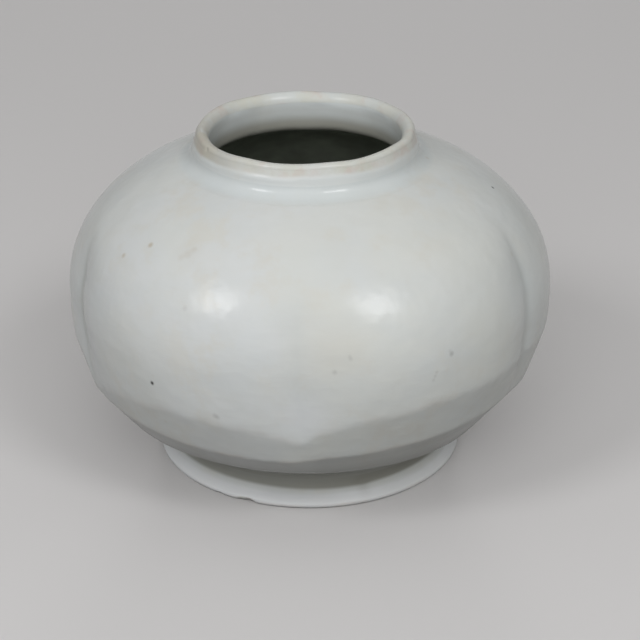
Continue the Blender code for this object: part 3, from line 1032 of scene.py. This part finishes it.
class JAR_OT_turn_neck(bpy.types.Operator):
    """Turns the short neck with its rounded, wiped lip and the rolled edge of the glaze under it"""

    bl_idname = "jar.turn_neck"
    bl_label = "Turn Neck"

    def execute(self, context):
        form = context.scene.jar_form
        joints = joint_places(form)
        collar = joints["collar"]
        mouth = form.mouth_radius
        bevel = 0.64 * form.lip_width
        roll = form.lip_width - bevel
        crest = mouth + bevel
        profile = arc_points((crest, RIM_LEVEL - form.lip_fall), bevel, pi, pi / 2, 22, form.lip_fall)
        profile += arc_points((crest, RIM_LEVEL - roll), roll, pi / 2, 0.0, 14)[1:]
        line_on(profile, collar, 24)
        line_on(profile, (mouth, collar[1]), 4)
        line_on(profile, (mouth, RIM_LEVEL - form.lip_fall), 10)
        piece = spin_profile("neck_turned", profile)
        azimuth, radius, level = read_points(piece)
        edge = RIM_LEVEL - 2.6 * MM + 0.2 * MM * np.sin(2 * azimuth + 1.1)
        edge = edge + 0.14 * MM * np.sin(7 * azimuth)
        edge = edge + 0.06 * MM * np.sin(19 * azimuth + 1.4) + 0.03 * MM * np.sin(37 * azimuth + 0.6)
        outside = radius > crest - 0.01 * MM
        coat = smooth_step((edge + 0.3 * MM - level) / (0.9 * MM))
        roll_edge = bell(level - edge + 0.5 * MM, 0.65 * MM)
        roll_edge = roll_edge * (0.3 + 0.7 * bell(turn_from(azimuth, -14.0), 0.45))
        joint_fade = smooth_step((level - collar[1]) / (0.9 * MM))
        radius = radius + np.where(outside, (0.05 * coat + 0.12 * roll_edge) * joint_fade * MM, 0.0)
        nick = bell(turn_from(azimuth, -59.0) * 23 * MM, 0.45 * MM)
        nick = nick * bell(level - RIM_LEVEL + 0.75 * MM, 0.4 * MM)
        nick = np.where(outside, nick, 0.0)
        waver = np.sin(5 * azimuth + 0.9) + np.sin(9 * azimuth + 2.3) + 0.7 * np.sin(16 * azimuth)
        lip_share = smooth_step((level - RIM_LEVEL + 3.2 * MM) / (1.8 * MM))
        waver = 0.06 * MM * waver * lip_share
        lift = 0.07 * MM * (np.sin(3 * azimuth + 2.0) + np.sin(8 * azimuth))
        lift = (lift - 0.28 * MM * bell(turn_from(azimuth, -28.0), 0.9)) * lip_share
        place_points(form, piece, azimuth, radius + waver - 0.3 * MM * nick, level + lift)
        inner_edge = RIM_LEVEL - 2.2 * MM + 0.25 * MM * np.sin(3 * azimuth + 0.4)
        bare_out = smooth_step((level - edge + 0.35 * MM) / (1.1 * MM))
        bare_in = smooth_step((level - inner_edge) / (0.5 * MM))
        stain = bell(turn_from(azimuth, -70.0), 0.6)
        stain = stain * smooth_step((level - RIM_LEVEL + 3 * MM) / MM)
        write_marks(
            piece,
            bare=np.where(outside, bare_out, bare_in),
            pooled=np.where(outside, 0.25 * coat, 0.5),
            # Outside, the lip's stain and nick are darker; inside is painted shade down the throat
            shade=np.where(outside, 0.5 * stain + 0.9 * nick, throat_shade(level)),
            stained=stain,
        )
        finish_piece(piece, "neck_collar", "neck_glaze", "white_glaze")
        return {"FINISHED"}


def lay_floor(stage):
    bpy.ops.object.select_all(action="DESELECT")
    bpy.ops.mesh.primitive_plane_add(size=FLOOR_SIZE, location=(0, 0, -0.05 * MM))
    floor = bpy.context.active_object
    floor.name = "studio_floor"
    material, tree, shader, place = start_material("studio_floor")
    path = put(tree, "ShaderNodeLightPath").outputs
    mirrored = most(tree, path["Is Glossy Ray"], path["Is Transmission Ray"])
    seen = most(tree, path["Is Camera Ray"], mirrored)
    colour = mixed(tree, seen, toned(stage.floor, FLOOR_BOUNCE), stage.floor)
    tree.links.new(colour, shader.inputs["Base Color"])
    distance = put(tree, "ShaderNodeVectorMath", {"operation": "LENGTH"}, {0: place}).outputs["Value"]
    faded = ranged(tree, distance, FLOOR_FADE_START, FLOOR_FADE_END, 1.0, 0.0)
    tree.links.new(faded, shader.inputs["Alpha"])
    shader.inputs["Roughness"].default_value = 0.9
    shader.inputs["Specular IOR Level"].default_value = 0.1
    floor.data.materials.append(material)


def light_surroundings(stage):
    world = bpy.data.worlds.new("studio_surroundings")
    bpy.context.scene.world = world
    world.use_nodes = True
    tree = world.node_tree
    background = tree.nodes["Background"]
    path = put(tree, "ShaderNodeLightPath").outputs
    glow = [stage.dome_light] * 3
    seen = mixed(tree, path["Is Camera Ray"], glow, stage.floor)
    tree.links.new(seen, background.inputs["Color"])
    background.inputs["Strength"].default_value = 1.0


def hang_lamp(name, azimuth, elevation, distance, size, share):
    """A square soft box at a bearing from the camera, of a share of full light on the jar."""
    turn = radians(azimuth + VIEW_AZIMUTH)
    rise = radians(elevation)
    away = Vector((sin(turn) * cos(rise), -cos(turn) * cos(rise), sin(rise)))
    data = bpy.data.lights.new(name, "AREA")
    data.shape = "SQUARE"
    data.size = size
    data.energy = share * pi ** 2 * distance ** 2
    data.color = LAMP_COLOUR
    lamp = bpy.data.objects.new(name, data)
    bpy.context.scene.collection.objects.link(lamp)
    lamp.location = LAMP_TARGET + away * distance
    lamp.rotation_euler = (-away).to_track_quat("-Z", "Y").to_euler()
    return lamp


def aim_camera(context):
    data = bpy.data.cameras.new("camera")
    data.sensor_width = CAMERA_SENSOR
    data.lens = CAMERA_LENS
    camera = bpy.data.objects.new("camera", data)
    context.scene.collection.objects.link(camera)
    turn = radians(VIEW_AZIMUTH)
    camera.location = (CAMERA_BACK * sin(turn), -CAMERA_BACK * cos(turn), CAMERA_HEIGHT)
    camera.rotation_euler = (radians(90 - CAMERA_TILT), 0.0, turn - CAMERA_SWING)
    context.scene.camera = camera


class JAR_OT_set_stage(bpy.types.Operator):
    """Sets the floor, the soft lamps and the camera"""

    bl_idname = "jar.set_stage"
    bl_label = "Set Stage"

    def execute(self, context):
        stage = context.scene.jar_stage
        context.scene.view_settings.view_transform = "Standard"
        lay_floor(stage)
        light_surroundings(stage)
        hang_lamp("left_soft_box", -50.0, 41.0, 1.0, 0.27, stage.key_light)
        hang_lamp("right_soft_box", 36.0, 43.5, 1.0, 0.27, stage.key_light)
        front = hang_lamp("front_fill", -2.0, 31.0, 1.2, 1.0, stage.fill_light)
        front.visible_glossy = False
        back = hang_lamp("back_fill", 178.0, 7.0, 1.2, 0.28, BACK_SHARE * stage.fill_light)
        back.visible_glossy = False
        aim_camera(context)
        return {"FINISHED"}


class JAR_PT_panel(bpy.types.Panel):
    """Lists the jar's sizes, colours and making steps"""

    bl_idname = "JAR_PT_panel"
    bl_label = "Six-lobed Jar"
    bl_space_type = "VIEW_3D"
    bl_region_type = "UI"
    bl_category = "Jar"

    def draw(self, context):
        layout = self.layout
        for group in (context.scene.jar_form, context.scene.jar_glaze, context.scene.jar_stage):
            box = layout.box()
            for name in group.__annotations__:
                box.prop(group, name)
        for step in STEPS:
            layout.operator(step.bl_idname)


STEPS = (JAR_OT_turn_foot, JAR_OT_lute_joints, JAR_OT_throw_body, JAR_OT_turn_neck, JAR_OT_set_stage)
CLASSES = (JarForm, JarGlaze, JarStage, *STEPS, JAR_PT_panel)


def register():
    for item in CLASSES:
        bpy.utils.register_class(item)
    bpy.types.Scene.jar_form = bpy.props.PointerProperty(type=JarForm)
    bpy.types.Scene.jar_glaze = bpy.props.PointerProperty(type=JarGlaze)
    bpy.types.Scene.jar_stage = bpy.props.PointerProperty(type=JarStage)


def unregister():
    del bpy.types.Scene.jar_stage
    del bpy.types.Scene.jar_glaze
    del bpy.types.Scene.jar_form
    for item in reversed(CLASSES):
        bpy.utils.unregister_class(item)


def main():
    register()
    bpy.ops.jar.turn_foot()
    bpy.ops.jar.lute_joints()
    bpy.ops.jar.throw_body()
    bpy.ops.jar.turn_neck()
    bpy.ops.jar.set_stage()


if __name__ == "__main__":
    main()
